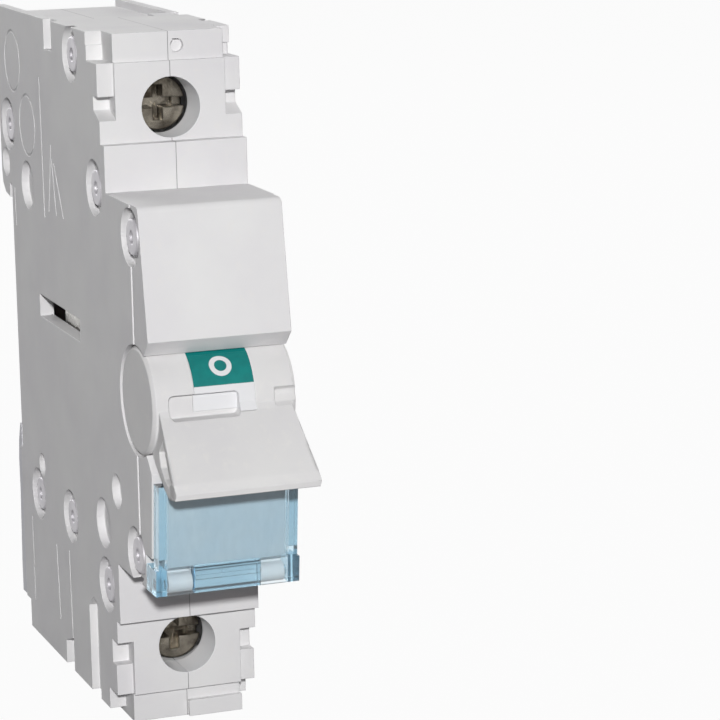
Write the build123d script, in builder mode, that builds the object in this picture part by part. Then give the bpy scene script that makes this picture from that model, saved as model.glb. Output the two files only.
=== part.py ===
from build123d import *
import math
import os

os.makedirs("parts", exist_ok=True)

# One pole modular switch disconnector for a 35 mm rail, in millimetres.
# Origin: rail seat plane, mid width, rail centreline. The front faces -Y and the top +Z.

# Rail and case
rail_height = 35.0
rail_lip = 1.15
claw_low = 15.8
seat_relief = 0.1
case_width = 17.5
case_top = 40.7
case_bottom = -42.2
side_wall = 1.8
front_wall = 1.3
nose_step = 0.15
fit_gap = 0.1
slide_gap = 0.15

# Front depths, measured from the rail seat
rear_depth = 5.1
shoulder_depth = 43.9
band_depth = 43.3
rib_depth = 43.1
neck_depth = 45.4
nose_top_depth = 57.9
nose_depth = 60.45
lip_depth = 58.4

# Front heights
nose_top = 22.4
neck_top = 27.9
lip_top = 7.26
lip_low = 5.35
nose_bottom = -22.4
neck_bottom = -29.9
chamber_low = -17.5
band_low = 37.3
base_band = -39.5
base_rib = 0.9

# Toggle
axis_y = -55.4
axis_z = -0.4
drum_radius = 6.4
drum_gap = 0.15
drum_edge = 0.4
flap_inset = 0.65
hub_radius = 2.5
hub_gap = 0.05
arm_width = 1.6
toggle_travel = 60.0
crank_radius = 8.0
crank_start = 5.0
pin_radius = 1.0
lug_radius = 2.0
lug_wall = 1.6
tongue_width = 3.6
insert_width = 7.2
insert_depth = 1.2
insert_top = 58.0
insert_low = -6.5
flap_root = (-62.35, -1.15)

# Contacts
contact_z = 3.65
contact_span = 9.5
bridge_face = -20.0
bridge_thick = 2.0
bridge_play = 1.4
bridge_corner = 1.6
boss_radius = 2.0
pad_radius = 2.6
pad_thick = 1.4
contact_gap = 0.05
stirrup_thick = 0.8
stirrup_gap = 0.25
stirrup_hook = 2.2
stirrup_front = -36.0
stirrup_height = 4.5
carrier_rear = -33.0
carrier_front = -46.0
carrier_low = -1.3
carrier_high = 8.6
slot_front = -31.7
slot_rear = -12.4
slot_low = 2.2
slot_high = 5.1

# Terminals
upper_z = 31.85
lower_z = -33.8
access_radius = 3.6
head_radius = 3.3
head_front = -38.4
head_thick = 3.2
shank_radius = 2.5
thread_gap = 0.05
cage_wall = 1.0
cage_height = 8.0
cage_offset = -0.85
cage_front = -42.4
cage_nut_front = -34.9
cage_nut = 2.5
cage_rear = -18.3
cage_floor = 1.8
cage_travel = 5.6
bar_y = -24.0
bar_thick = 2.0
bar_width = 9.0
bar_bend = 1.6
entry_front = -22.5
entry_rear = -14.0

# Rivets and side pockets, as depth and height on the side
rivet_radius = 1.5
rivet_gap = 0.05
rivet_head = 2.4
rivet_dome = 0.75
pocket_radius = 3.4
pocket_depth = 1.0
sleeve_radius = 2.6
nose_rivet = (-54.8, 18.6)
rivet_places = [
    (-31.5, 37.4), (-40.4, 22.4), nose_rivet, (0.7, 25.5),
    (-7.9, -22.3), (-23.9, -21.6), (-53.2, -19.3), (-40.0, -26.3),
]
bare_shank = (-31.5, 37.4)
plain_pockets = [
    (-8.4, 18.6, 3.1), (2.6, 20.3, 1.9), (-10.3, -17.9, 1.5), (-39.4, -18.7, 3.1), (-45.9, -13.3, 2.1),
]
ring_places = [(-9.35, 26.4, 4.0), (-2.7, 34.0, 4.0)]

# Rail clip
clip_front = 1.15
clip_top = -14.8
clip_bottom = -38.5
clip_inset = 0.2
clip_rear = 3.77
foot_rear = 0.95
tongue_half = 3.0
head_half = 4.4
head_low = -29.0
head_high = -26.0
head_back = -3.9
head_rim = -1.7
channel_low = -38.6
spring_y = -2.8

# Label cover
cover_front = -60.95
cover_lean = 5.9
cover_depth = 2.0
cover_top = -9.15
cover_low = -22.4
rail_width = 1.1
skin = 0.45
panel_thick = 0.8
panel_sink = 0.35
panel_low = -19.1
foot_top = -19.35
hinge_y = -59.3
hinge_z = -21.25
stub_radius = 0.6
ear_radius = 1.15
ear_width = 2.9
cheek = 1.4
cheek_rear = -57.2
cheek_high = -19.3
card_thick = 0.3
card_gap = 0.05

half = case_width / 2
inner_half = half - side_wall
stirrup_half = inner_half - stirrup_gap
bridge_width = 2 * (stirrup_half - stirrup_thick - bridge_play)
carrier_half = stirrup_half - stirrup_thick - 2 * slide_gap
clip_half = half - clip_inset
bearing_out = inner_half + 0.25
bearing_in = bearing_out - arm_width
entry_half = bar_width / 2 + 0.3
cage_half = bar_width / 2 + 0.2 + cage_wall
corner_half = half - 2.0
front_half = half - nose_step
cover_half = front_half - 0.2
cheek_out = half - 0.05
drum_half = front_half
flange = drum_half - bearing_out - 0.3
pocket_floor = half - pocket_depth
rail_half = rail_height / 2
lip_top_z = rail_half + 0.15
lip_low_z = -rail_half - 0.2


def arc_points(radius, degrees):
    """Point on a circle about the toggle axis, the angle measured upward from the front."""
    angle = math.radians(degrees)
    return (axis_y - radius * math.cos(angle), axis_z + radius * math.sin(angle))


def slab(points, start, amount, mode=Mode.ADD):
    """Extrudes a side profile, given as depth and height, across the width from X = start."""
    with BuildSketch(Plane.YZ.offset(start)) as profile:
        with BuildLine():
            Polyline(*points, close=True)
        make_face()
    extrude(profile.sketch, amount=amount, mode=mode)


def disc(place, radius, start, amount, mode=Mode.ADD):
    """A round boss or pocket across the width at a depth and height on the side."""
    with BuildSketch(Plane.YZ.offset(start)) as profile:
        with Locations(place):
            Circle(radius)
    extrude(profile.sketch, amount=amount, mode=mode)


def block(x, y, z, mode=Mode.ADD):
    """A rectangular block from its limits along each axis."""
    centre = ((x[0] + x[1]) / 2, (y[0] + y[1]) / 2, (z[0] + z[1]) / 2)
    with Locations(centre):
        Box(abs(x[1] - x[0]), abs(y[1] - y[0]), abs(z[1] - z[0]), mode=mode)


def cover_y(z, behind=0.0):
    """Depth of a plane behind the leaning front of the label cover, at a height."""
    return cover_front + behind - (z - cover_low) * math.tan(math.radians(cover_lean))


def leaning(near, far, low, high, x, mode=Mode.ADD):
    """A plate along the leaning front of the cover, between two heights and across a width."""
    slab([(cover_y(low, near), low), (cover_y(low, far), low),
          (cover_y(high, far), high), (cover_y(high, near), high)],
         x[0], x[1] - x[0], mode)


def finish(piece, name):
    """Labels a piece and writes it."""
    piece.part.label = name
    export_step(piece.part, f"parts/{name}.step")


def strip(points, thick, width, mode=Mode.ADD):
    """A bent flat strip along a path given as depth and height."""
    with BuildLine(Plane.YZ) as path:
        FilletPolyline(*points, radius=bar_bend)
    with BuildSketch(Plane(origin=path.line @ 0, x_dir=(1, 0, 0), z_dir=path.line % 0)) as section:
        Rectangle(width, thick)
    sweep(section.sketch, path=path.line, mode=mode)


def coil(centre, axis, radius, wire, length, turns):
    """A round wire spring of open turns along an axis, from its first end."""
    with BuildLine() as path:
        Helix(length / turns, length, radius, center=centre, direction=axis)
    with BuildSketch(Plane(origin=path.line @ 0, z_dir=path.line % 0)) as section:
        RegularPolygon(wire / 2, 6)
    sweep(section.sketch, path=path.line, is_frenet=True)


# Slide of the carrier for the whole turn of the toggle
carrier_travel = crank_radius * (
    math.sin(math.radians(crank_start + toggle_travel)) - math.sin(math.radians(crank_start))
)

# Bar routes, from the cage to the fixed contact
bar_rear = (bridge_face + bridge_thick + pad_thick + carrier_travel + contact_gap + pad_thick
            + bar_thick / 2)
cage_top = upper_z + cage_offset + cage_height / 2
cage_low = lower_z - cage_offset - cage_height / 2
bar_step_up = 17.6
bar_step_low = -16.2
bar_knee_y = -15.4
bar_knee_z = -26.6
upper_route = [
    (bar_y, cage_top - 0.4), (bar_y, bar_step_up), (bar_rear, bar_step_up),
    (bar_rear, contact_z + contact_span - pad_radius - 0.6),
]
lower_route = [
    (bar_y, cage_low + 0.4), (bar_y, bar_knee_z), (bar_knee_y, bar_knee_z), (bar_knee_y, bar_step_low),
    (bar_rear, bar_step_low), (bar_rear, contact_z - contact_span + pad_radius + 0.6),
]


# Front edges of the case above and below the nose, for the middle band and for the stepped corners
middle_top = [(-band_depth, case_top), (-band_depth, band_low), (-shoulder_depth, band_low)]
middle_low = [
    (-shoulder_depth, base_band), (-rib_depth, base_band), (-rib_depth, case_bottom - base_rib),
    (-23.5, case_bottom - base_rib), (-23.5, case_bottom),
]
corner_top = [
    (-38.7, case_top), (-38.7, 39.1), (-38.95, 39.1), (-38.95, band_low), (-band_depth, band_low),
    (-band_depth, 33.4), (-41.4, 33.4),
    (-41.4, 31.7), (-shoulder_depth, 30.6),
]
corner_low = [
    (-shoulder_depth, -32.75), (-41.5, -32.75), (-41.5, -35.7), (-rib_depth, -35.7), (-rib_depth, base_band),
    (-39.5, base_band), (-39.5, case_bottom),
]


def case_slice(front_top, front_low, start, amount):
    """Solid slice of the case across part of its width, with its own front steps."""
    with BuildSketch(Plane.YZ.offset(start)) as outline:
        with BuildLine():
            Polyline(
                (rear_depth, case_top), *front_top, (-shoulder_depth, neck_top),
                (-neck_depth, neck_top), (-neck_depth, nose_top), (-nose_top_depth, nose_top),
                (-nose_depth, lip_top), (-lip_depth, lip_low), (-58.1, -5.8),
                (cover_y(-8.05, cover_depth + fit_gap), -8.05),
                (cover_y(nose_bottom, cover_depth + fit_gap), nose_bottom),
                (-neck_depth, nose_bottom), (-neck_depth, neck_bottom),
                (-shoulder_depth, neck_bottom), *front_low, (-1.1, case_bottom),
                (-1.1, clip_bottom), (foot_rear, clip_bottom), (foot_rear, lip_low_z),
                (-seat_relief, lip_low_z), (-seat_relief, clip_top + 0.2), (0, clip_top + 0.2),
                (0, claw_low - 0.2), (-seat_relief, claw_low - 0.2), (-seat_relief, lip_top_z),
                (rail_lip, lip_top_z), (rail_lip, claw_low), (3.4, claw_low + 0.4),
                (4.7, claw_low + 1.5), (rear_depth, claw_low + 3.2), close=True,
            )
        make_face()
        fillet(outline.vertices().sort_by_distance((-nose_top_depth, nose_top, 0))[0], 0.9)
    extrude(outline.sketch, amount=amount)


def mechanism_chamber(side):
    """Hollow that holds the toggle drum, the carrier and the contacts."""
    slab([
        (-nose_top_depth + 1.6, nose_top - 1.7), (-nose_depth + 1.9, lip_top + 1.1),
        (-lip_depth + 1.4, lip_low - 0.3),
        (axis_y, axis_z - drum_radius + 0.8), (-50.5, -8.0), (-50.5, chamber_low), (-1.8, chamber_low),
        (-1.8, nose_top - 1.7),
    ], 0, side * inner_half, Mode.SUBTRACT)


def nose_front(mode):
    """Front and top walls of the nose above the toggle, moulded in one with the left shell."""
    with BuildSketch(Plane.YZ) as wall:
        with BuildLine():
            Polyline(
                (-neck_depth, nose_top), (-nose_top_depth, nose_top),
                (-nose_depth, lip_top), (-lip_depth, lip_low),
                (-lip_depth + 1.4, lip_low - 0.3), (-nose_depth + 1.9, lip_top + 1.1),
                (-nose_top_depth + 1.6, nose_top - 1.7), (-neck_depth, nose_top - 1.7), close=True,
            )
        make_face()
        fillet(wall.vertices().sort_by_distance((-nose_top_depth, nose_top, 0))[0], 0.9)
    extrude(wall.sketch, amount=front_half, mode=mode)


def terminal_chamber(side, z, way, outlet):
    """Cage space, screw shaft and cable entry of one terminal; way is +1 at the top and -1 at the base."""
    mid = z + way * cage_offset
    reach = cage_height / 2 + 0.5
    room = side * (cage_half + 0.2)
    shaft_end = head_front - 0.3
    block((0, room), (shaft_end, cage_rear + cage_travel + 0.4), (mid - reach, mid + reach), Mode.SUBTRACT)
    block((0, side * entry_half), (entry_front, entry_rear), (mid, outlet + way), Mode.SUBTRACT)
    with BuildSketch(Plane(origin=(0, -shoulder_depth, z), x_dir=(1, 0, 0), z_dir=(0, 1, 0))) as hole:
        Circle(access_radius)
    extrude(hole.sketch, amount=shaft_end + shoulder_depth, mode=Mode.SUBTRACT)


def bearing_arm(side):
    """Plate that carries the drum hub in a mouth open to the front."""
    start = side * bearing_in
    reach = side * (bearing_out - bearing_in)
    with BuildSketch(Plane.YZ.offset(start)) as plate:
        with Locations((axis_y, axis_z)):
            Circle(hub_radius + 1.9)
        with Locations((axis_y + 4.6, axis_z)):
            Rectangle(9.2, 6.4)
        with Locations((axis_y, axis_z)):
            Circle(hub_radius + hub_gap, mode=Mode.SUBTRACT)
        with Locations((axis_y - 3, axis_z)):
            Rectangle(6, 2 * hub_radius - 0.5, mode=Mode.SUBTRACT)
    extrude(plate.sketch, amount=reach)


def carrier_guides(side):
    """Ribs above and below the sliding carrier."""
    block((side * (tongue_width / 2 + 0.3), side * inner_half), (carrier_front, carrier_rear + carrier_travel),
          (carrier_high + fit_gap, carrier_high + 2.2))
    block((0, side * inner_half), (carrier_front, carrier_rear + carrier_travel),
          (carrier_low - 2.2, carrier_low - fit_gap))


def side_marks(side):
    """Moulded rings and fine lines on the side face."""
    face = side * half
    depth = -side * 0.12
    with BuildSketch(Plane.YZ.offset(face)) as rings:
        for y, z, radius in ring_places:
            with Locations((y, z)):
                Circle(radius)
                Circle(radius - 0.3, mode=Mode.SUBTRACT)
    extrude(rings.sketch, amount=depth, mode=Mode.SUBTRACT)
    lines = [
        ((-16.2, 33.3), (-16.6, 15.5)), ((-20.9, 25.3), (-18.8, 16.6)), ((-21.0, 23.6), (-22.4, 16.6)),
        ((-21.9, 23.1), (-25.8, 16.6)), ((-1.4, 17.4), (-1.6, 12.4)), ((-3.7, -26.4), (-3.7, -37.9)),
        ((-16.1, -27.2), (-16.8, -37.0)), ((-22.4, -26.4), (-22.7, -38.0)),
    ]
    with BuildSketch(Plane.YZ.offset(face)) as scores:
        for start, end in lines:
            middle = ((start[0] + end[0]) / 2, (start[1] + end[1]) / 2)
            run = math.dist(start, end)
            lean = math.degrees(math.atan2(end[1] - start[1], end[0] - start[0]))
            with Locations(Location((*middle, 0), (0, 0, lean))):
                Rectangle(run, 0.3)
    extrude(scores.sketch, amount=depth, mode=Mode.SUBTRACT)


def half_case(side):
    """One half shell: side is -1 for the left and +1 for the right."""
    with BuildPart() as shell:
        case_slice(middle_top, middle_low, 0, side * corner_half)
        case_slice(corner_top, corner_low, side * corner_half, side * (half - corner_half))
        block((side * front_half, side * half), (-nose_depth - 1, -55.0), (nose_bottom, nose_top),
              Mode.SUBTRACT)
        mechanism_chamber(side)
        if side < 0:
            nose_front(Mode.ADD)
            disc(nose_rivet, pocket_radius, half, -pocket_depth, Mode.SUBTRACT)
        disc((axis_y, axis_z), drum_radius + drum_gap, -half, 2 * half, Mode.SUBTRACT)
        bearing_arm(side)
        for y, z in rivet_places:
            if (y, z) != bare_shank:
                disc((y, z), sleeve_radius, 0, side * (pocket_floor - 0.2))
        if side > 0:
            nose_front(Mode.SUBTRACT)
        terminal_chamber(side, upper_z, 1, case_top)
        terminal_chamber(side, lower_z, -1, case_bottom)
        strip(upper_route, bar_thick + 2 * fit_gap, bar_width + 2 * fit_gap, Mode.SUBTRACT)
        strip(lower_route, bar_thick + 2 * fit_gap, bar_width + 2 * fit_gap, Mode.SUBTRACT)
        block((0, side * (half - 1.2)), (-19.2, rear_depth), (case_top - 1, case_top), Mode.SUBTRACT)
        for y, z in rivet_places:
            disc((y, z), pocket_radius, side * half, -side * pocket_depth, Mode.SUBTRACT)
            disc((y, z), rivet_radius + rivet_gap, -half, 2 * half, Mode.SUBTRACT)
        for y, z, radius in plain_pockets:
            disc((y, z), radius, side * half, -side * pocket_depth, Mode.SUBTRACT)
        block((side * inner_half, side * half), (slot_front, slot_rear), (slot_low, slot_high), Mode.SUBTRACT)
        block((side * pocket_floor, side * half), (-23.0, -19.4), (37.0, case_top), Mode.SUBTRACT)
        slab([(-19.2, case_bottom), (-19.2, -39.1), (-23.0, -37.9), (-23.0, case_bottom)],
             side * pocket_floor, side * pocket_depth, Mode.SUBTRACT)
        slab([(-35.5, case_bottom), (-35.5, -30.2), (-33.4, -29.5), (-31.3, -31.2), (-31.3, case_bottom)],
             side * pocket_floor, side * pocket_depth, Mode.SUBTRACT)
        side_marks(side)
        block((0, side * (tongue_half + slide_gap)), (head_rim, foot_rear),
              (channel_low, head_high + slide_gap), Mode.SUBTRACT)
        block((0, side * (head_half + slide_gap)), (head_back - slide_gap, head_rim),
              (channel_low, head_high + slide_gap), Mode.SUBTRACT)
        cover_hinge(side)
        carrier_guides(side)
        if side > 0:
            block((0.1, half - 1.9), (-43.8, -rib_depth), (case_bottom - base_rib, case_bottom + 1.1))
            block((0.6, 1.1), (-band_depth, -band_depth + 0.8), (38.2, 39.8), Mode.SUBTRACT)
            with BuildSketch(Plane(origin=(1.1, -band_depth, 39.0), z_dir=(0, 1, 0))) as window:
                Circle(0.8)
            extrude(window.sketch, amount=0.8, mode=Mode.SUBTRACT)
            block((corner_half + 0.25, half - 0.1), (-39.9, -38.7), (38.7, case_top))
            block((corner_half + 0.25, half - 0.25), (-39.6, -38.7), (band_low, 38.7))
            block((-1.8, -0.6), (-rib_depth, -42.3), (-40.9, base_band), Mode.SUBTRACT)
    return shell


def cover_hinge(side):
    """Ear with a pin hole for the label cover, and the room it swings in, at the foot of the nose."""
    inner = side * (half - cheek - 2 * slide_gap)
    ear = side * (half - cheek - 2 * slide_gap - ear_width)
    foot_reach = math.dist((cover_y(cover_low, cover_depth), cover_low), (hinge_y, hinge_z)) + fit_gap
    block((0, ear), (hinge_y - 2, hinge_y + foot_reach), (nose_bottom, hinge_z + foot_reach), Mode.SUBTRACT)
    disc((hinge_y, hinge_z), ear_radius, ear, inner - ear)
    block((ear, inner), (hinge_y, hinge_y + 1), (hinge_z - ear_radius, hinge_z + ear_radius))
    disc((hinge_y, hinge_z), stub_radius + 0.05, ear, inner - ear, Mode.SUBTRACT)
    low_reach = math.dist((cheek_rear, cover_low), (hinge_y, hinge_z)) + fit_gap
    high_reach = math.dist((cheek_rear, cheek_high), (hinge_y, hinge_z)) + fit_gap
    block((inner, side * half), (hinge_y - 2, hinge_y + low_reach), (nose_bottom, hinge_z + high_reach),
          Mode.SUBTRACT)


housing_left = half_case(-1)
finish(housing_left, "housing_left")
housing_right = half_case(1)
finish(housing_right, "housing_right")


def drum_slot():
    """Shallow rounded slot across the drum and its marker strip."""
    start = (-2.55, axis_y - drum_radius - 1.5, -0.225)
    with BuildSketch(Plane(origin=start, x_dir=(1, 0, 0), z_dir=(0, 1, 0))) as outline:
        RectangleRounded(8.4, 2.75, 0.6)
    extrude(outline.sketch, amount=2.4, mode=Mode.SUBTRACT)


# Moulded toggle: drum, flap, hub grooves and crank lugs
with BuildPart() as toggle:
    slab([
        arc_points(drum_radius - 0.4, 12), flap_root, (-69.9, -8.3), (-69.95, -8.7), (-69.4, -9.1),
        (-66.1, -9.64), (-63.5, -9.1), (-61.6, -8.1), (-59.8, -7.0), (-58.3, -5.5), (axis_y, axis_z),
    ], -drum_half, 2 * drum_half)
    for side in (-1, 1):
        slab([(-63.3, -3.3), (-67.6, -7.4), (-65.9, -8.35), (-63.7, -7.9), (-61.9, -6.9), (-61.4, -5.2)],
             side * 1.0, side * drum_half, Mode.SUBTRACT)
        block((side * 4.2, side * 5.0), (-66.6, -61.2), (-9.0, -3.0))
    slab([(-61.0, 0.6), flap_root, (-69.9, -8.3), (-69.0, -9.6), (-72.0, -9.6), (-72.0, 0.6)],
         -drum_half, 2 * drum_half, Mode.SUBTRACT)
    slab([(-69.4, -9.1), (-66.1, -9.64), (-63.5, -9.1), (-61.6, -8.1), (-59.8, -7.0), (-58.3, -5.5),
          (-58.3, -12.0), (-69.4, -12.0)], -drum_half, 2 * drum_half, Mode.SUBTRACT)
    for side in (-1, 1):
        with BuildSketch(Plane.XY.offset(-12)) as flank:
            with BuildLine():
                Polyline(
                    (side * (drum_half - flap_inset), axis_y), (side * (drum_half - flap_inset), -62.2),
                    (side * drum_half, -69.0), (side * half, -69.0), (side * half, axis_y), close=True,
                )
            make_face()
        extrude(flank.sketch, amount=14, mode=Mode.SUBTRACT)
    with BuildSketch(Plane.XY.offset(axis_z)) as drum:
        with Locations((0, axis_y - drum_radius / 2)):
            Rectangle(2 * drum_half, drum_radius)
        chamfer(drum.vertices().group_by(Axis.Y)[0], drum_edge)
    revolve(drum.sketch, axis=Axis((0, axis_y, axis_z), (1, 0, 0)))
    pin_place = (
        axis_y + crank_radius * math.sin(math.radians(crank_start)),
        axis_z + crank_radius * math.cos(math.radians(crank_start)),
    )
    lug_start = tongue_width / 2 + 0.3
    for side in (-1, 1):
        disc(pin_place, lug_radius, side * lug_start, side * lug_wall)
        slab([
            (axis_y - lug_radius, axis_z), (pin_place[0] - lug_radius, pin_place[1]),
            (pin_place[0] + lug_radius, pin_place[1]), (axis_y + lug_radius, axis_z),
        ], side * lug_start, side * lug_wall)
        with BuildSketch(Plane.YZ.offset(side * (drum_half - flange))) as groove:
            with Locations((axis_y, axis_z)):
                Circle(hub_radius + 2.2)
            with BuildLine():
                Polyline(
                    (axis_y, axis_z), *[arc_points(9.0, degree) for degree in (69, 106, 145, 185, 225)],
                    close=True,
                )
            make_face()
            with Locations((axis_y, axis_z)):
                Circle(hub_radius, mode=Mode.SUBTRACT)
        extrude(groove.sketch, amount=side * -(bearing_out - bearing_in + 0.4), mode=Mode.SUBTRACT)
    block((-lug_start, lug_start), (axis_y - 2.6, axis_y + 9), (axis_z - 0.6, axis_z + 12), Mode.SUBTRACT)
    disc(pin_place, pin_radius, -drum_half, 2 * drum_half, Mode.SUBTRACT)
    with BuildSketch(Plane.YZ.offset(-insert_width / 2)) as seat:
        with BuildLine():
            Polyline(
                (axis_y, axis_z), *[arc_points(9.0, degree) for degree in (insert_low, 25, insert_top)],
                close=True,
            )
        make_face()
        with Locations((axis_y, axis_z)):
            Circle(drum_radius - insert_depth, mode=Mode.SUBTRACT)
    extrude(seat.sketch, amount=insert_width, mode=Mode.SUBTRACT)
    drum_slot()
    slab([(-64, 1.1), (-61.45, 1.1), (-61.1, 0.7), (-61.1, 0.2), (-61.6, -0.6), (-62.6, -1.25), (-64, -1.25)],
         5.95, drum_half - 5.95, Mode.SUBTRACT)
finish(toggle, "toggle")

# Coloured marker strip let into the front of the drum
with BuildPart() as toggle_insert:
    with BuildSketch(Plane.YZ.offset(-insert_width / 2)) as strip_face:
        with Locations((axis_y, axis_z)):
            Circle(drum_radius + 0.04)
            Circle(drum_radius - insert_depth, mode=Mode.SUBTRACT)
        with BuildLine():
            Polyline(
                arc_points(drum_radius - 0.4, 12), flap_root,
                arc_points(drum_radius - insert_depth + 0.1, insert_low),
                arc_points(drum_radius - insert_depth + 0.1, 12), close=True,
            )
        make_face()
        with BuildLine():
            Polyline(
                (axis_y, axis_z), *[arc_points(9.0, degree) for degree in (insert_low, 25, insert_top)],
                close=True,
            )
        make_face(mode=Mode.INTERSECT)
    extrude(strip_face.sketch, amount=insert_width)
    drum_slot()
finish(toggle_insert, "toggle_insert")

# Steel pin between the crank lugs
with BuildPart() as drive_pin:
    disc(pin_place, pin_radius, -(lug_start + lug_wall), 2 * (lug_start + lug_wall))
finish(drive_pin, "drive_pin")

# Sliding carrier with its cam slot, pushed back by the pin as the toggle turns
with BuildPart() as contact_carrier:
    block((-carrier_half, carrier_half), (carrier_front, carrier_rear), (carrier_low, carrier_high))
    block((-tongue_width / 2, tongue_width / 2), (-57.4, carrier_front), (-0.6, 10.2))
    with BuildSketch(Plane.YZ.offset(-tongue_width / 2)) as cam:
        with BuildLine() as cam_line:
            middle_angle = math.radians(crank_start + toggle_travel / 2)
            cam_start = pin_place
            cam_middle = (
                axis_y + crank_radius * math.sin(middle_angle) - carrier_travel / 2,
                axis_z + crank_radius * math.cos(middle_angle),
            )
            cam_end = (pin_place[0],
                       axis_z + crank_radius * math.cos(math.radians(crank_start + toggle_travel)))
            ThreePointArc(cam_start, cam_middle, cam_end)
        trace(line_width=2 * (pin_radius + 0.3))
        with Locations(cam_start, cam_end):
            Circle(pin_radius + 0.3)
    extrude(cam.sketch, amount=tongue_width, mode=Mode.SUBTRACT)
    for side in (-1, 1):
        block((side * (stirrup_half - stirrup_hook), side * carrier_half),
              (stirrup_front, stirrup_front + stirrup_thick),
              (contact_z - stirrup_height / 2, contact_z + stirrup_height / 2), Mode.SUBTRACT)
        block((side * (tongue_width / 2 + 0.8), side * (carrier_half - 1.2)),
              (carrier_front, carrier_rear - 3.6), (0.2, 7.1), Mode.SUBTRACT)
    with BuildSketch(Plane(origin=(0, carrier_rear, contact_z), z_dir=(0, 1, 0))) as boss:
        Circle(boss_radius)
    extrude(boss.sketch, amount=3.0)
finish(contact_carrier, "contact_carrier")

# Steel stirrup that ties the contact bridge to the carrier
with BuildPart() as contact_stirrup:
    for side in (-1, 1):
        block((side * (stirrup_half - stirrup_thick), side * stirrup_half),
              (stirrup_front, bridge_face + bridge_thick),
              (contact_z - stirrup_height / 2, contact_z + stirrup_height / 2))
        block((side * (stirrup_half - stirrup_hook), side * stirrup_half),
              (stirrup_front, stirrup_front + stirrup_thick),
              (contact_z - stirrup_height / 2, contact_z + stirrup_height / 2))
    block((-stirrup_half, stirrup_half),
          (bridge_face + bridge_thick, bridge_face + bridge_thick + stirrup_thick),
          (contact_z - stirrup_height / 2, contact_z + stirrup_height / 2))
finish(contact_stirrup, "contact_stirrup")

# Copper bridge, with a locating boss for the spring
with BuildPart() as contact_bridge:
    bridge_plane = Plane(origin=(0, bridge_face, contact_z), x_dir=(1, 0, 0), z_dir=(0, 1, 0))
    with BuildSketch(bridge_plane) as bridge_face_plan:
        RectangleRounded(bridge_width, 2 * contact_span + 2 * pad_radius - 0.2, bridge_corner)
    extrude(bridge_face_plan.sketch, amount=bridge_thick)
    with BuildSketch(Plane(origin=(0, bridge_face, contact_z), z_dir=(0, -1, 0))) as dimple:
        Circle(1.8)
    extrude(dimple.sketch, amount=1.0)
finish(contact_bridge, "contact_bridge")

# Silver pads riveted on the bridge
with BuildPart() as moving_contacts:
    for z in (contact_z - contact_span, contact_z + contact_span):
        with BuildSketch(Plane(origin=(0, bridge_face + bridge_thick, z), z_dir=(0, 1, 0))) as pad:
            Circle(pad_radius)
        extrude(pad.sketch, amount=pad_thick)
finish(moving_contacts, "moving_contacts")

# Pressure spring between the carrier and the bridge
with BuildPart() as contact_spring:
    coil((0, carrier_rear + 0.45, contact_z), (0, 1, 0), boss_radius + 1.1, 0.8,
         bridge_face - carrier_rear - 0.9, 3)
finish(contact_spring, "contact_spring")

# Fixed pads on the front faces of the bar ends
fixed_front = bar_rear - bar_thick / 2 - pad_thick
with BuildPart() as upper_fixed_contact:
    with BuildSketch(Plane(origin=(0, fixed_front, contact_z + contact_span), z_dir=(0, 1, 0))) as pad:
        Circle(pad_radius)
    extrude(pad.sketch, amount=pad_thick)
finish(upper_fixed_contact, "upper_fixed_contact")

with BuildPart() as lower_fixed_contact:
    with BuildSketch(Plane(origin=(0, fixed_front, contact_z - contact_span), z_dir=(0, 1, 0))) as pad:
        Circle(pad_radius)
    extrude(pad.sketch, amount=pad_thick)
finish(lower_fixed_contact, "lower_fixed_contact")

# Bent copper bars from the cages to the fixed contacts
with BuildPart() as upper_contact_bar:
    strip(upper_route, bar_thick, bar_width)
finish(upper_contact_bar, "upper_contact_bar")

with BuildPart() as lower_contact_bar:
    strip(lower_route, bar_thick, bar_width)
finish(lower_contact_bar, "lower_contact_bar")


def cage_body(z, way):
    """Square tube open to the cable entry, with a thick threaded front wall."""
    mid = z + way * cage_offset
    limits = (mid - cage_height / 2, mid + cage_height / 2)
    inner = cage_half - cage_wall
    block((-cage_half, cage_half), (cage_nut_front, cage_rear), limits)
    block((-inner, inner), (cage_nut_front + cage_nut, cage_rear - cage_floor), limits, Mode.SUBTRACT)
    with BuildSketch(Plane(origin=(0, cage_nut_front, z), z_dir=(0, 1, 0))) as thread:
        Circle(shank_radius + thread_gap)
    extrude(thread.sketch, amount=cage_nut, mode=Mode.SUBTRACT)


def screw_body(z):
    """Clamping screw with a combined slot and cross in its head."""
    with BuildSketch(Plane(origin=(0, head_front, z), z_dir=(0, 1, 0))) as head:
        Circle(head_radius)
    extrude(head.sketch, amount=head_thick)
    with BuildSketch(Plane(origin=(0, head_front + head_thick, z), z_dir=(0, 1, 0))) as shank:
        Circle(shank_radius)
    extrude(shank.sketch, amount=bar_y - bar_thick / 2 - 0.05 - head_front - head_thick)
    block((-head_radius, head_radius), (head_front, head_front + 1.3), (z - 0.55, z + 0.55), Mode.SUBTRACT)
    block((-0.6, 0.6), (head_front, head_front + 2.2), (z - 2.1, z + 2.1), Mode.SUBTRACT)
    block((-2.1, 2.1), (head_front, head_front + 2.2), (z - 0.6, z + 0.6), Mode.SUBTRACT)


with BuildPart() as upper_cage:
    cage_body(upper_z, 1)
finish(upper_cage, "upper_cage")

with BuildPart() as lower_cage:
    cage_body(lower_z, -1)
finish(lower_cage, "lower_cage")

with BuildPart() as upper_screw:
    screw_body(upper_z)
finish(upper_screw, "upper_screw")

with BuildPart() as lower_screw:
    screw_body(lower_z)
finish(lower_screw, "lower_screw")

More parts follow.
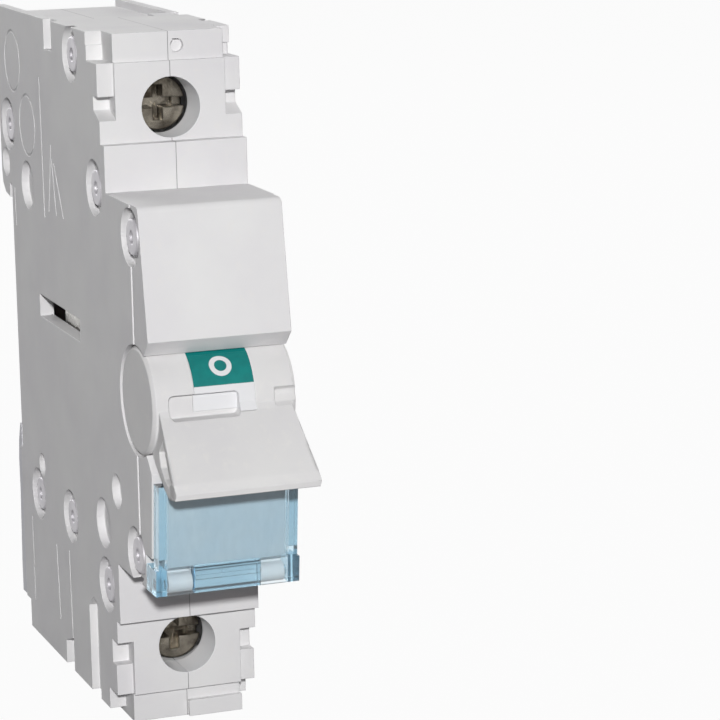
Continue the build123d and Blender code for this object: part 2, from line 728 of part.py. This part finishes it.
# Eight tubular rivets that hold the half shells together
with BuildPart() as rivets:
    for y, z in rivet_places:
        disc((y, z), rivet_radius, -pocket_floor, 2 * pocket_floor)
        for side in (-1, 1):
            with BuildSketch(Plane.YZ.offset(side * pocket_floor)) as rim:
                with Locations((y, z)):
                    Circle(rivet_head)
            extrude(rim.sketch, amount=side * rivet_dome, taper=25)
            disc((y, z), 0.8, side * (pocket_floor + rivet_dome), -side * 0.35, Mode.SUBTRACT)
finish(rivets, "rivets")

# Sprung clip that grips the lower edge of the rail
with BuildPart() as rail_clip:
    slab([
        (clip_front, clip_top), (1.75, clip_top), (2.76, -17.3), (3.2, -20.0), (3.1, -24.0), (3.44, -29.4),
        (clip_rear, -34.3), (clip_rear, clip_bottom), (clip_front, clip_bottom),
    ], -clip_half, 2 * clip_half)
    block((-tongue_half, tongue_half), (head_rim, clip_front), (head_low, head_high))
    block((-head_half, head_half), (head_back, head_rim - slide_gap), (head_low, head_high))
    block((-tongue_half, tongue_half), (head_rim - slide_gap, head_rim), (head_low, head_high))
finish(rail_clip, "rail_clip")

with BuildPart() as rail_clip_spring:
    coil((0, spring_y, channel_low + 0.2), (0, 0, 1), 0.8, 0.36, head_low - channel_low - 0.4, 5)
finish(rail_clip_spring, "rail_clip_spring")

# Clear hinged cover of the label, with side rails, cheeks and a foot bar
with BuildPart() as label_cover:
    rail_inner = cover_half - rail_width
    ear = half - cheek - 3 * slide_gap - ear_width
    leaning(0, panel_thick, cover_low, cover_top, (-cover_half, cover_half))
    leaning(-1, panel_sink, panel_low, cover_top + 1, (-rail_inner, rail_inner), Mode.SUBTRACT)
    for side in (-1, 1):
        leaning(0, cover_depth, cheek_high, cover_top, (side * rail_inner, side * cover_half))
        slab([(cover_y(cover_low), cover_low), (cover_y(cheek_high), cheek_high), (cheek_rear, cheek_high),
              (cheek_rear, cover_low)], side * (half - cheek), side * (cheek_out - half + cheek))
        leaning(skin, cover_depth + 1, cover_low, cheek_high, (side * ear, side * (half - cheek)),
                Mode.SUBTRACT)
        disc((hinge_y, hinge_z), stub_radius, side * (half - cheek), side * -1.2)
    leaning(0, cover_depth, cover_low, foot_top, (-ear, ear))
    leaning(-1, 0.25, -20.85, -20.3, (-ear, ear), Mode.SUBTRACT)
finish(label_cover, "label_cover")

# Blank card behind the cover
with BuildPart() as label_card:
    card_half = rail_inner - 0.2
    card_near = panel_thick + card_gap
    leaning(card_near, card_near + card_thick, foot_top + 0.1, cover_top - 0.1, (-card_half, card_half))
finish(label_card, "label_card")
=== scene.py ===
import math

import bpy
from mathutils import Matrix, Vector


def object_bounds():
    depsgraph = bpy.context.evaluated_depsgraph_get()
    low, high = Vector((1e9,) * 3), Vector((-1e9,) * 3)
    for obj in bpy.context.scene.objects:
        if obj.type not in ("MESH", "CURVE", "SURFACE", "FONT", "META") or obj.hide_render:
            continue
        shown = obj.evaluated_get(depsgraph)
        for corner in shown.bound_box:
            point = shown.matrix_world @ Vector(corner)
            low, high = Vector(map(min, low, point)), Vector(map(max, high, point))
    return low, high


mm = 0.001
axisY, axisZ = -55.4 * mm, -0.4 * mm  # toggle axis
drumRadius = 6.4 * mm


def newTree(name):  # empty material, with its node tree
    material = bpy.data.materials.new(name)
    material.use_nodes = True
    tree = material.node_tree
    tree.nodes.clear()
    return material, tree


def place(tree, kind, inputs=None, **settings):  # one node, its inputs set or linked
    node = tree.nodes.new(kind)
    for key, value in settings.items():
        setattr(node, key, value)
    for key, value in (inputs or {}).items():
        if isinstance(value, bpy.types.NodeSocket):
            tree.links.new(value, node.inputs[key])
        else:
            node.inputs[key].default_value = value
    return node


def coordinates(tree):  # the piece's own coordinates, which stay with it as it moves
    return place(tree, "ShaderNodeTexCoord").outputs["Object"]


def axes(tree, coords):  # x, y and z of a position
    return place(tree, "ShaderNodeSeparateXYZ", {0: coords}).outputs


def maths(tree, operation, a, b=0.0):
    return place(tree, "ShaderNodeMath", {0: a, 1: b}, operation=operation).outputs[0]


def vectorMaths(tree, operation, a, b=(0, 0, 0)):
    return place(tree, "ShaderNodeVectorMath", {0: a, 1: b}, operation=operation)


def product(tree, first, *others):
    for other in others:
        first = maths(tree, "MULTIPLY", first, other)
    return first


def distance(tree, a, b):  # from the origin, with the two steps a and b
    squares = maths(tree, "ADD", product(tree, a, a), product(tree, b, b))
    return maths(tree, "SQRT", squares)


def drumAngle(tree, y, z):  # angle round the toggle axis, up from the front
    height = maths(tree, "SUBTRACT", z, axisZ)
    reach = maths(tree, "SUBTRACT", axisY, y)
    return maths(tree, "ARCTAN2", height, reach)


def ramp(tree, value, low, high, outLow=0.0, outHigh=1.0):  # maps between two limits, clamped
    limits = {"From Min": low, "From Max": high, "To Min": outLow, "To Max": outHigh}
    return place(tree, "ShaderNodeMapRange", {"Value": value, **limits}).outputs[0]


def noise(tree, coords, scale, detail=3.0, roughness=0.55, stretch=None):
    if stretch:
        coords = vectorMaths(tree, "MULTIPLY", coords, stretch).outputs[0]
    look = {"Vector": coords, "Scale": scale, "Detail": detail, "Roughness": roughness}
    return place(tree, "ShaderNodeTexNoise", look).outputs[0]


def blend(tree, factor, a, b, kind="RGBA"):  # mixes two colours, or two vectors
    node = place(tree, "ShaderNodeMix", data_type=kind)
    sockets = [s for s in node.inputs if s.enabled]
    for socket, value in zip(sockets, (factor, a, b)):
        if isinstance(value, bpy.types.NodeSocket):
            tree.links.new(value, socket)
        else:
            socket.default_value = value
    return [s for s in node.outputs if s.enabled][0]


def mottle(tree, pattern, first, second, low=0.35, high=0.65):  # two tones in soft patches
    return blend(tree, ramp(tree, pattern, low, high), first, second)


def patchyRough(tree, coords, scale, limits, detail=3.0):
    return ramp(tree, noise(tree, coords, scale, detail), 0.3, 0.7, *limits)


def bump(tree, height, strength, depth, normal=None):
    inputs = {"Height": height, "Strength": strength, "Distance": depth}
    if normal is not None:
        inputs["Normal"] = normal
    return place(tree, "ShaderNodeBump", inputs).outputs[0]


def softEdge(tree, radius):  # normal that rounds the edges off
    return place(tree, "ShaderNodeBevel", {"Radius": radius}, samples=6).outputs[0]


def edgeWear(tree, radius):  # 1 along worn edges, 0 on flat faces
    rounded = softEdge(tree, radius)
    flat = place(tree, "ShaderNodeNewGeometry").outputs["Normal"]
    bend = vectorMaths(tree, "DOT_PRODUCT", rounded, flat).outputs["Value"]
    return ramp(tree, bend, 0.995, 0.9)


def finishTree(tree, shader, volume=None):
    output = place(tree, "ShaderNodeOutputMaterial", {"Surface": shader.outputs[0]})
    if volume is not None:
        tree.links.new(volume.outputs[0], output.inputs["Volume"])


def shade(material, *names):  # gives the named pieces one material
    for name in names:
        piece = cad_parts[name]
        piece.data.materials.clear()
        piece.data.materials.append(material)


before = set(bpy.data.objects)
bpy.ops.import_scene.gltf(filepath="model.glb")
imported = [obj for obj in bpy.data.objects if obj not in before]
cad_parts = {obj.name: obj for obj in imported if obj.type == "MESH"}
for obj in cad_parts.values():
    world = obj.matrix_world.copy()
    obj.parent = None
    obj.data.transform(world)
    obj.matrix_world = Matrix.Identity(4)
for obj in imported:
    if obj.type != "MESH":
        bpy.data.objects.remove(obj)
rest = [list(v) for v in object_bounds()]
scene = bpy.context.scene
print("frame loaded")


mouldLook = {  # what all mouldings share
    "fleckScale": 900,
    "fleckShare": 0.4,
    "rubReach": 1.6,  # width of the rubbed edge, in edge radii
    "rubScale": 420,
    "rubShare": (0.15, 0.6),
    "grainStrength": 0.14,
    "grainDepth": 0.03 * mm,
    "sinkScale": 160,
    "sinkStrength": 0.10,
    "sinkDepth": 0.25 * mm,
    "roughScale": 240,
    "rough": (0.50, 0.62),
    "mirror": 0.2,
}
shellLook = {
    "light": (0.770, 0.765, 0.764, 1),
    "shadow": (0.720, 0.708, 0.722, 1),
    "warm": (0.77, 0.75, 0.73, 1),
    "rubbed": (0.84, 0.84, 0.85, 1),
    "edge": 0.14 * mm,
    "grain": 5200,
    "flow": 70,
    "seam": 0.045 * mm,  # half width of the line where the shells meet
    "seamFront": -45.6 * mm,  # the nose in front of this has no line
    "seamTone": (0.34, 0.33, 0.34, 1),
    # painted highlight: lighter colour on the walls of the screw holes
    "wall": (0.90, 0.90, 0.91, 1),
    "wallRadius": 3.62 * mm,
    "wallRear": -38.6 * mm,
    "wallHeights": (31.85 * mm, -33.8 * mm),
}


def shellSeam(tree, coords, look):  # 1 in the fine line between the two shells
    x, y = axes(tree, coords)[:2]
    line = ramp(tree, maths(tree, "ABSOLUTE", x), look["seam"] * 1.3, look["seam"] * 0.7)
    return product(tree, line, maths(tree, "GREATER_THAN", y, look["seamFront"]))


def holeWallHighlightMask(tree, coords, look):  # 1 on the walls of the screw holes, where a painted highlight lightens the colour
    x, y, z = axes(tree, coords)
    total = 0.0
    for height in look["wallHeights"]:
        away = distance(tree, maths(tree, "SUBTRACT", z, height), x)
        inside = maths(tree, "LESS_THAN", away, look["wallRadius"])
        total = maths(tree, "MAXIMUM", total, inside)
    return product(tree, total, maths(tree, "LESS_THAN", y, look["wallRear"]))


def stripEnd(tree, coords, look):  # 1 on the drum where the coloured strip runs on below the nose
    x, y, z = axes(tree, coords)
    angle = drumAngle(tree, y, z)
    inside = maths(tree, "LESS_THAN", maths(tree, "ABSOLUTE", x), look["stripHalf"])
    above = maths(tree, "GREATER_THAN", angle, look["stripFrom"])
    below = maths(tree, "LESS_THAN", angle, look["stripTo"])
    return product(tree, inside, above, below)


def roundedLip(tree, coords, look, normal):  # turns the flap's far end to the front, like a rounded lip
    y, z = axes(tree, coords)[1:]
    upper, lower, rear = look["lipFrom"], look["lipLow"], look["lipRear"]
    share = product(
        tree,
        ramp(tree, z, upper, upper - look["lipBend"], 0, look["lipTurn"]),
        ramp(tree, y, rear, rear - look["lipBend"]),
        ramp(tree, z, lower, lower + look["lipFade"]),
    )
    front = place(tree, "ShaderNodeVectorTransform", {0: look["lipFacing"]}, vector_type="NORMAL",
                  convert_from="OBJECT", convert_to="WORLD").outputs[0]
    turned = blend(tree, share, normal, front, "VECTOR")
    return vectorMaths(tree, "NORMALIZE", turned).outputs[0]


def plasticMaterial(name, look):  # moulding: spark eroded grain, flow clouds, rubbed edges
    material, tree = newTree(name)
    coords = coordinates(tree)
    color = mottle(tree, noise(tree, coords, look["flow"], 4), look["light"], look["shadow"])
    flecks = noise(tree, coords, mouldLook["fleckScale"], 2)
    color = blend(tree, ramp(tree, flecks, 0.55, 0.8, 0, mouldLook["fleckShare"]), color, look["warm"])
    patches = ramp(tree, noise(tree, coords, mouldLook["rubScale"]), 0.4, 0.6, *mouldLook["rubShare"])
    rub = product(tree, edgeWear(tree, look["edge"] * mouldLook["rubReach"]), patches)
    color = blend(tree, rub, color, look["rubbed"])
    if "seam" in look:
        color = blend(tree, shellSeam(tree, coords, look), color, look["seamTone"])
    if "wall" in look:
        # painted highlight: the screw hole walls are coloured lighter
        color = blend(tree, holeWallHighlightMask(tree, coords, look), color, look["wall"])
    if "strip" in look:
        color = blend(tree, stripEnd(tree, coords, look), color, look["strip"])
    radius = look["edge"]
    if "lipRadius" in look:
        y, rear = axes(tree, coords)[1], look["lipRear"]
        radius = ramp(tree, y, rear, rear + look["lipBlend"], look["lipRadius"], look["edge"])
    grain = noise(tree, coords, look["grain"], 2, 0.7)
    sinks = noise(tree, coords, mouldLook["sinkScale"], 2)
    normal = bump(tree, grain, mouldLook["grainStrength"], mouldLook["grainDepth"], softEdge(tree, radius))
    normal = bump(tree, sinks, mouldLook["sinkStrength"], mouldLook["sinkDepth"], normal)
    if "lipTurn" in look:
        normal = roundedLip(tree, coords, look, normal)
    rough = patchyRough(tree, coords, mouldLook["roughScale"], mouldLook["rough"])
    finishTree(tree, place(tree, "ShaderNodeBsdfPrincipled", {
        "Base Color": color, "Roughness": rough, "Normal": normal, "IOR": 1.5,
        "Specular IOR Level": mouldLook["mirror"],
    }))
    return material


shade(plasticMaterial("shell plastic", shellLook), "housing_left", "housing_right")
print("shells done")


toggleLook = {
    "light": (0.738, 0.731, 0.726, 1),
    "shadow": (0.700, 0.690, 0.696, 1),
    "warm": (0.78, 0.765, 0.74, 1),
    "rubbed": (0.85, 0.85, 0.86, 1),
    "edge": 0.25 * mm,
    "grain": 6400,
    "flow": 90,
    "strip": (0.003, 0.19, 0.18, 1),
    "stripHalf": 3.6 * mm,
    "stripFrom": math.radians(57.5),
    "stripTo": math.radians(68),
    "lipRadius": 0.85 * mm,  # rounding at the far end of the flap
    "lipBlend": 1.0 * mm,  # depth over which that rounding fades in
    "lipFrom": -7.25 * mm,  # height where the rounded lip starts
    "lipLow": -9.1 * mm,
    "lipRear": -66.5 * mm,
    "lipBend": 0.4 * mm,
    "lipFade": 0.1 * mm,
    "lipTurn": 0.8,
    "lipFacing": (0, -0.95, 0.3),
}
shade(plasticMaterial("toggle plastic", toggleLook), "toggle")

clipLook = {
    "light": (0.74, 0.74, 0.77, 1),
    "shadow": (0.69, 0.69, 0.73, 1),
    "warm": (0.74, 0.73, 0.71, 1),
    "rubbed": (0.80, 0.80, 0.82, 1),
    "edge": 0.2 * mm,
    "grain": 5200,
    "flow": 80,
}
shade(plasticMaterial("clip plastic", clipLook), "rail_clip")
print("toggle and clip done")


markerLook = {
    "green": (0.003, 0.205, 0.19, 1),
    "deepGreen": (0.003, 0.175, 0.165, 1),
    "greenScale": 700,
    "greenEnd": 1.9 * mm,  # height where the green field ends
    "white": (0.77, 0.77, 0.785, 1),
    "ringZ": 3.9 * mm,
    "ringOuter": 1.33 * mm,
    "ringInner": 0.73 * mm,
    "soft": 0.03 * mm,  # half width of the print's soft edge
    "fray": 0.04 * mm,
    "frayScale": 2600,
    "edge": 0.12 * mm,
    "grain": 6400,
    "grainStrength": 0.10,
    "grainDepth": 0.03 * mm,
    "printStrength": 0.2,
    "printDepth": 0.02 * mm,
    "roughScale": 500,
    "rough": (0.32, 0.44),
    "mirror": 0.3,
}


def alongDrum(height):  # arc length on the drum, from its front to a height
    return math.asin((height - axisZ) / drumRadius) * drumRadius


def markerMaterial(look):  # green field with a pale ring printed on it, over pale plastic
    material, tree = newTree("marker strip")
    coords = coordinates(tree)
    x, y, z = axes(tree, coords)
    along = product(tree, drumAngle(tree, y, z), drumRadius)
    wander = maths(tree, "SUBTRACT", noise(tree, coords, look["frayScale"], 2), 0.5)
    fray = product(tree, wander, look["fray"])
    up = maths(tree, "SUBTRACT", along, alongDrum(look["ringZ"]))
    away = maths(tree, "ADD", distance(tree, up, x), fray)
    soft = look["soft"]
    outer = ramp(tree, away, look["ringOuter"] + soft, look["ringOuter"] - soft)
    inner = ramp(tree, away, look["ringInner"] - soft, look["ringInner"] + soft)
    end = alongDrum(look["greenEnd"])
    field = ramp(tree, maths(tree, "ADD", along, fray), end - soft, end + soft)
    green = mottle(tree, noise(tree, coords, look["greenScale"]), look["green"], look["deepGreen"])
    printed = blend(tree, product(tree, outer, inner), green, look["white"])
    color = blend(tree, field, look["white"], printed)
    grain = noise(tree, coords, look["grain"], 2, 0.7)
    normal = bump(tree, grain, look["grainStrength"], look["grainDepth"], softEdge(tree, look["edge"]))
    normal = bump(tree, field, look["printStrength"], look["printDepth"], normal)
    finishTree(tree, place(tree, "ShaderNodeBsdfPrincipled", {
        "Base Color": color, "Roughness": patchyRough(tree, coords, look["roughScale"], look["rough"]),
        "Normal": normal, "Specular IOR Level": look["mirror"],
    }))
    return material


shade(markerMaterial(markerLook), "toggle_insert")
print("marker done")


wearLook = {"patch": 0.35, "spot": 1.5, "scratch": 5, "depth": 0.03 * mm}  # scales, times the metal's own


def metalMaterial(name, look):  # metal with rolling lines or tumbling marks and patchy tone
    material, tree = newTree(name)
    coords = coordinates(tree)
    scale = look["scale"]
    color = mottle(tree, noise(tree, coords, scale * wearLook["patch"], 4), look["light"], look["dark"])
    spots = noise(tree, coords, scale * wearLook["spot"], 5, 0.65)
    color = blend(tree, ramp(tree, spots, 0.5, 0.75, 0, look["tarnish"]), color, look["tarnishTone"])
    scratches = noise(tree, coords, scale * wearLook["scratch"], 3, 0.6, look["stretch"])
    normal = bump(tree, scratches, look["lines"], wearLook["depth"], softEdge(tree, look["edge"]))
    finishTree(tree, place(tree, "ShaderNodeBsdfPrincipled", {
        "Base Color": color, "Metallic": 1.0, "Normal": normal,
        "Roughness": patchyRough(tree, coords, scale, look["rough"], 4),
    }))
    return material


screwLook = {
    "light": (0.32, 0.29, 0.24, 1), "dark": (0.045, 0.036, 0.026, 1), "tarnishTone": (0.025, 0.018, 0.012, 1),
    "rough": (0.12, 0.24), "edge": 0.32 * mm, "scale": 700, "stretch": None, "tarnish": 0.6, "lines": 0.9,
}
shade(metalMaterial("screw steel", screwLook), "upper_screw", "lower_screw", "drive_pin")

cageLook = {
    "light": (0.80, 0.80, 0.80, 1), "dark": (0.60, 0.60, 0.61, 1), "tarnishTone": (0.30, 0.28, 0.25, 1),
    "rough": (0.08, 0.20), "edge": 0.25 * mm, "scale": 500, "stretch": None, "tarnish": 0.2, "lines": 0.06,
}
shade(metalMaterial("cage plating", cageLook), "upper_cage", "lower_cage")

stirrupLook = {
    "light": (0.70, 0.69, 0.66, 1), "dark": (0.42, 0.41, 0.40, 1), "tarnishTone": (0.16, 0.12, 0.09, 1),
    "rough": (0.20, 0.36), "edge": 0.10 * mm, "scale": 500, "stretch": (1, 0.08, 1),
    "tarnish": 0.15, "lines": 0.08,
}
shade(metalMaterial("stirrup steel", stirrupLook), "contact_stirrup")

rivetLook = {
    "light": (0.47, 0.46, 0.48, 1), "dark": (0.40, 0.39, 0.41, 1), "tarnishTone": (0.52, 0.51, 0.52, 1),
    "rough": (0.46, 0.58), "edge": 0.34 * mm, "scale": 900, "stretch": None, "tarnish": 0.4, "lines": 0.10,
}
shade(metalMaterial("rivet zinc", rivetLook), "rivets")

copperLook = {
    "light": (0.78, 0.44, 0.28, 1), "dark": (0.60, 0.31, 0.19, 1), "tarnishTone": (0.16, 0.10, 0.07, 1),
    "rough": (0.22, 0.40), "edge": 0.15 * mm, "scale": 300, "stretch": (1, 0.1, 0.1),
    "tarnish": 0.5, "lines": 0.08,
}
shade(metalMaterial("copper", copperLook), "upper_contact_bar", "lower_contact_bar", "contact_bridge")

silverLook = {
    "light": (0.88, 0.87, 0.83, 1), "dark": (0.70, 0.69, 0.66, 1), "tarnishTone": (0.22, 0.20, 0.17, 1),
    "rough": (0.15, 0.35), "edge": 0.20 * mm, "scale": 900, "stretch": None, "tarnish": 0.2, "lines": 0.06,
}
shade(metalMaterial("contact silver", silverLook),
      "moving_contacts", "upper_fixed_contact", "lower_fixed_contact")

springLook = {
    "light": (0.52, 0.52, 0.54, 1), "dark": (0.36, 0.36, 0.38, 1), "tarnishTone": (0.12, 0.11, 0.10, 1),
    "rough": (0.20, 0.35), "edge": 0.05 * mm, "scale": 1200, "stretch": None, "tarnish": 0.2, "lines": 0.06,
}
shade(metalMaterial("spring steel", springLook), "contact_spring", "rail_clip_spring")
print("metals done")


carrierLook = {
    "light": (0.055, 0.055, 0.06, 1),
    "shadow": (0.03, 0.03, 0.034, 1),
    "warm": (0.09, 0.085, 0.08, 1),
    "rubbed": (0.12, 0.12, 0.12, 1),
    "edge": 0.15 * mm,
    "grain": 3600,
    "flow": 120,
}
shade(plasticMaterial("carrier thermoset", carrierLook), "contact_carrier")


coverLook = {
    "tint": (0.97, 0.99, 1.0, 1),
    "milk": (0.90, 0.96, 1.0, 1),
    "cloudScale": 300,
    "inside": (0.2, 0.65, 0.835, 1),
    "density": 220,
    "edge": 0.12 * mm,
    "rippleScale": 260,
    "rippleStrength": 0.06,
    "rippleDepth": 0.1 * mm,
    "hazeScale": 2400,
    "hazeStrength": 0.05,
    "hazeDepth": 0.02 * mm,
    "roughScale": 700,
    "rough": (0.05, 0.14),
    "bend": 1.49,
    "near": 3.5 * mm,  # lamp light keeps its tint up to this distance
    "far": 5.25 * mm,
    "spread": (0.19, 0.15, 0.15, 1),  # lamp light left beyond the far distance
}


def clearMaterial(look):  # clear blue moulding, deeper in colour where light runs far through it
    material, tree = newTree("clear blue moulding")
    coords = coordinates(tree)
    color = mottle(tree, noise(tree, coords, look["cloudScale"]), look["tint"], look["milk"], 0.3, 0.7)
    ripple = noise(tree, coords, look["rippleScale"], 2)
    haze = noise(tree, coords, look["hazeScale"], 2)
    normal = bump(tree, ripple, look["rippleStrength"], look["rippleDepth"], softEdge(tree, look["edge"]))
    normal = bump(tree, haze, look["hazeStrength"], look["hazeDepth"], normal)
    glass = place(tree, "ShaderNodeBsdfPrincipled", {
        "Base Color": color, "Roughness": patchyRough(tree, coords, look["roughScale"], look["rough"]),
        "Normal": normal, "IOR": look["bend"], "Transmission Weight": 1.0,
    })
    ray = place(tree, "ShaderNodeLightPath")
    close = ramp(tree, ray.outputs["Ray Length"], look["far"], look["near"])
    through = blend(tree, close, look["spread"], look["tint"])
    passing = place(tree, "ShaderNodeBsdfTransparent", {"Color": through})  # lets the lamps reach the card
    straight = maths(tree, "MAXIMUM", ray.outputs["Is Shadow Ray"], ray.outputs["Is Diffuse Ray"])
    shader = place(tree, "ShaderNodeMixShader", {0: straight, 1: glass.outputs[0], 2: passing.outputs[0]})
    depth = {"Color": look["inside"], "Density": look["density"]}
    finishTree(tree, shader, place(tree, "ShaderNodeVolumeAbsorption", depth))
    return material


shade(clearMaterial(coverLook), "label_cover")

cardLook = {
    "light": (0.53, 0.605, 0.645, 1),
    "dark": (0.485, 0.56, 0.60, 1),
    "fibreScale": 1500,
    "fibreStretch": (1, 1, 0.4),
    "fibreStrength": 0.25,
    "fibreDepth": 0.03 * mm,
    "rough": 0.75,
}


def cardMaterial(look):  # blank pale card with paper fibre
    material, tree = newTree("label card")
    fibre = noise(tree, coordinates(tree), look["fibreScale"], 5, 0.7, look["fibreStretch"])
    finishTree(tree, place(tree, "ShaderNodeBsdfPrincipled", {
        "Base Color": mottle(tree, fibre, look["light"], look["dark"]), "Roughness": look["rough"],
        "Normal": bump(tree, fibre, look["fibreStrength"], look["fibreDepth"]),
    }))
    return material


shade(cardMaterial(cardLook), "label_card")
print("cover and card done")


stageLook = {
    "floorTone": (0.26, 0.26, 0.265, 1),
    "floorPatch": (0.24, 0.24, 0.245, 1),
    "floorGlow": 0.96,
    "floorGap": 0.02 * mm,
    "floorSize": 8,
    "patchScale": 8,
    "skyTone": (0.95, 0.97, 1.0, 1),
    "ambient": 0.05,
}


def seenDirectly(tree):  # 1 for camera, mirror and see-through rays that have met no matt surface
    ray = place(tree, "ShaderNodeLightPath")
    both = maths(tree, "MAXIMUM", ray.outputs["Is Camera Ray"], ray.outputs["Is Glossy Ray"])
    seen = maths(tree, "MAXIMUM", both, ray.outputs["Is Transmission Ray"])
    return product(tree, seen, maths(tree, "LESS_THAN", ray.outputs["Diffuse Depth"], 0.5))


def floorMaterial(look):  # near white matte floor that stays plain in the picture
    material, tree = newTree("floor")
    patches = noise(tree, coordinates(tree), look["patchScale"], 2)
    tone = blend(tree, patches, look["floorTone"], look["floorPatch"])
    matte = place(tree, "ShaderNodeBsdfDiffuse", {"Color": tone})
    glow = place(tree, "ShaderNodeEmission", {"Color": (1, 1, 1, 1), "Strength": 1.0})
    share = product(tree, seenDirectly(tree), look["floorGlow"])
    shader = place(tree, "ShaderNodeMixShader", {0: share, 1: matte.outputs[0], 2: glow.outputs[0]})
    finishTree(tree, shader)
    return material


def studioWorld(look):  # white to the camera, faint on the object
    world = bpy.data.worlds.new("studio")
    world.use_nodes = True
    tree = world.node_tree
    tree.nodes.clear()
    white = place(tree, "ShaderNodeBackground", {"Color": (1, 1, 1, 1), "Strength": 1.0})
    sky = place(tree, "ShaderNodeBackground", {"Color": look["skyTone"], "Strength": look["ambient"]})
    share = seenDirectly(tree)
    shader = place(tree, "ShaderNodeMixShader", {0: share, 1: sky.outputs[0], 2: white.outputs[0]})
    place(tree, "ShaderNodeOutputWorld", {"Surface": shader.outputs[0]})
    return world


floorHeight = rest[0][2] - stageLook["floorGap"]
bpy.ops.mesh.primitive_plane_add(size=stageLook["floorSize"], location=(0, 0, floorHeight))
floor = bpy.context.object
floor.name = "floor"
floor.data.materials.append(floorMaterial(stageLook))
scene.world = studioWorld(stageLook)

lampLook = {  # turn from the front, lift, distance, size, level on a face that looks at the lamp
    "key": (-16.6, 18.5, 0.75, 0.035, 0.83),
    "top": (150, 68, 0.80, 0.40, 0.18),
    "right": (100, 12, 0.80, 0.40, 0.46),
    "back": (192, 20, 0.80, 0.40, 0.46),
}
lampAim = Vector((0, -0.03, 0))


def directionTo(turn, lift):  # from the object to the viewer, turned from the front and lifted
    return Vector((math.sin(turn) * math.cos(lift), -math.cos(turn) * math.cos(lift), math.sin(lift)))


def softbox(name, turn, lift, reach, size, level):  # square lamp that looks at the object's middle
    light = bpy.data.lights.new(name, "AREA")
    light.shape = "SQUARE"
    light.size = size
    light.energy = level * math.pi ** 2 * reach ** 2
    lamp = bpy.data.objects.new(name, light)
    way = directionTo(math.radians(turn), math.radians(lift))
    lamp.location = lampAim + way * reach
    lamp.rotation_mode = "QUATERNION"
    lamp.rotation_quaternion = way.to_track_quat("Z", "Y")
    scene.collection.objects.link(lamp)


for name, values in lampLook.items():
    softbox(name, *values)
print("stage done")


scene.view_settings.view_transform = "Standard"
cameraLook = {
    "turn": -20.418,
    "lift": 11.648,
    "roll": -1.017,
    "lens": 147.789,
    "sensor": 36,
    "place": (-0.1004, -0.375681, 0.07243),
    "clip": (0.01, 20),
}
turn, lift, roll = (math.radians(cameraLook[key]) for key in ("turn", "lift", "roll"))
back = directionTo(turn, lift)
right = Vector((0, 0, 1)).cross(back).normalized()
up = back.cross(right)
across = right * math.cos(roll) + up * math.sin(roll)
upward = -right * math.sin(roll) + up * math.cos(roll)
camera = bpy.data.objects.new("camera", bpy.data.cameras.new("camera"))
camera.data.lens = cameraLook["lens"]
camera.data.sensor_width = cameraLook["sensor"]
camera.data.clip_start, camera.data.clip_end = cameraLook["clip"]
facing = Matrix((across, upward, back)).transposed().to_4x4()
camera.matrix_world = Matrix.Translation(cameraLook["place"]) @ facing
scene.collection.objects.link(camera)
scene.camera = camera

bpy.context.view_layer.update()
